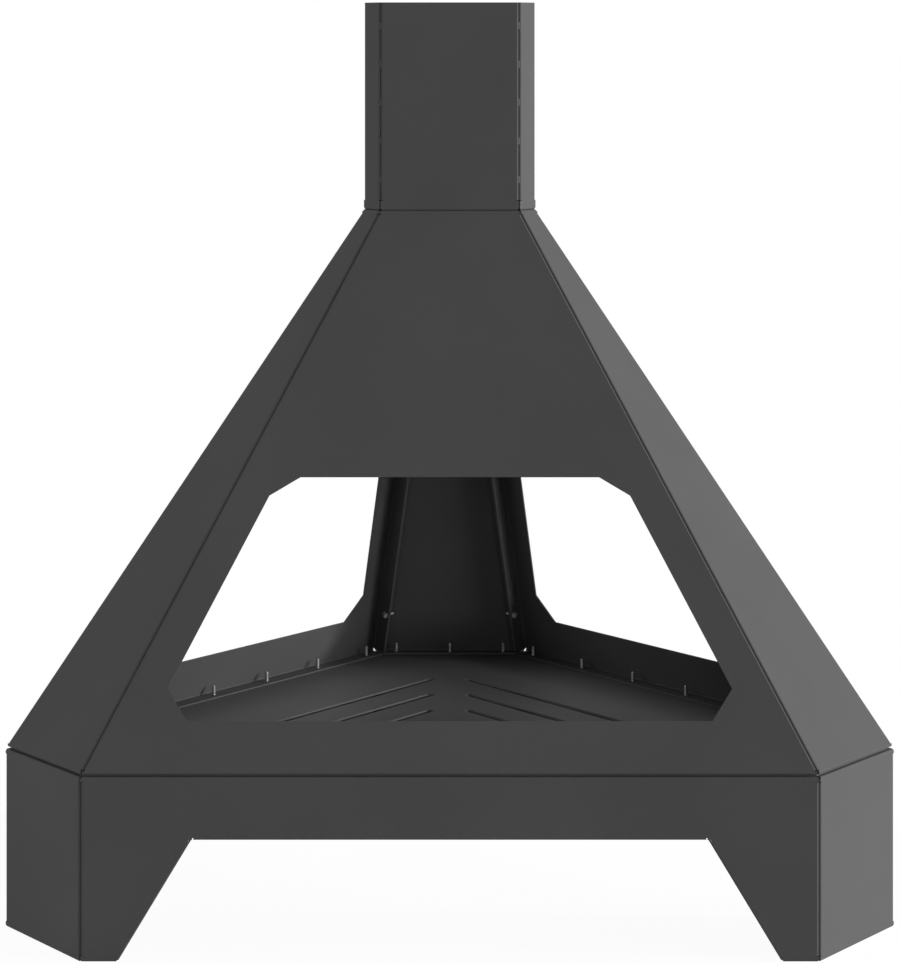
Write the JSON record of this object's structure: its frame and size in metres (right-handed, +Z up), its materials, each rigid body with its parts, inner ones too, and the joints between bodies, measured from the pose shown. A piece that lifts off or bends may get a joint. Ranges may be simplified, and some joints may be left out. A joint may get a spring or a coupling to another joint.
{
  "type": "hooded garden fireplace",
  "caption": "Six-sided sheet-steel garden fireplace: arched skirt, slotted hearth plate, tapering hood with windows on the long sides, and a short chimney.",
  "frame": {"origin": "on the ground, under the middle of the bounding box", "axes": "+Z up; the front long wall faces -Y; +X to the right of someone who looks at the front"},
  "size_m": [1.3862, 1.2016, 1.443],
  "materials": {
    "powder_coated_steel": "fine-textured charcoal heat-resistant powder coat",
    "hearth_steel": "charcoal heat-resistant powder coat, matt",
    "zinc_plated_steel": "slightly dull zinc plate"
  },
  "bodies": {
    "root": {"chimney_back_shell": "powder_coated_steel", "chimney_front_shell": "powder_coated_steel", "chimney_seam_screws": "zinc_plated_steel", "chimney_seam_washers": "zinc_plated_steel", "flue_screws": "zinc_plated_steel", "flue_washers": "zinc_plated_steel", "hearth_plate": "hearth_steel", "hearth_screws": "zinc_plated_steel", "hearth_washers": "zinc_plated_steel", "hood_corner_back_panel": "powder_coated_steel", "hood_corner_left_panel": "powder_coated_steel", "hood_corner_right_panel": "powder_coated_steel", "hood_front_panel": "powder_coated_steel", "hood_rear_left_panel": "powder_coated_steel", "hood_rear_right_panel": "powder_coated_steel", "hood_seam_screws": "zinc_plated_steel", "hood_seam_washers": "zinc_plated_steel", "skirt_corner_back_panel": "powder_coated_steel", "skirt_corner_left_panel": "powder_coated_steel", "skirt_corner_right_panel": "powder_coated_steel", "skirt_front_panel": "powder_coated_steel", "skirt_rear_left_panel": "powder_coated_steel", "skirt_rear_right_panel": "powder_coated_steel", "skirt_seam_screws": "zinc_plated_steel", "skirt_seam_washers": "zinc_plated_steel"}
  },
  "joints": []
}
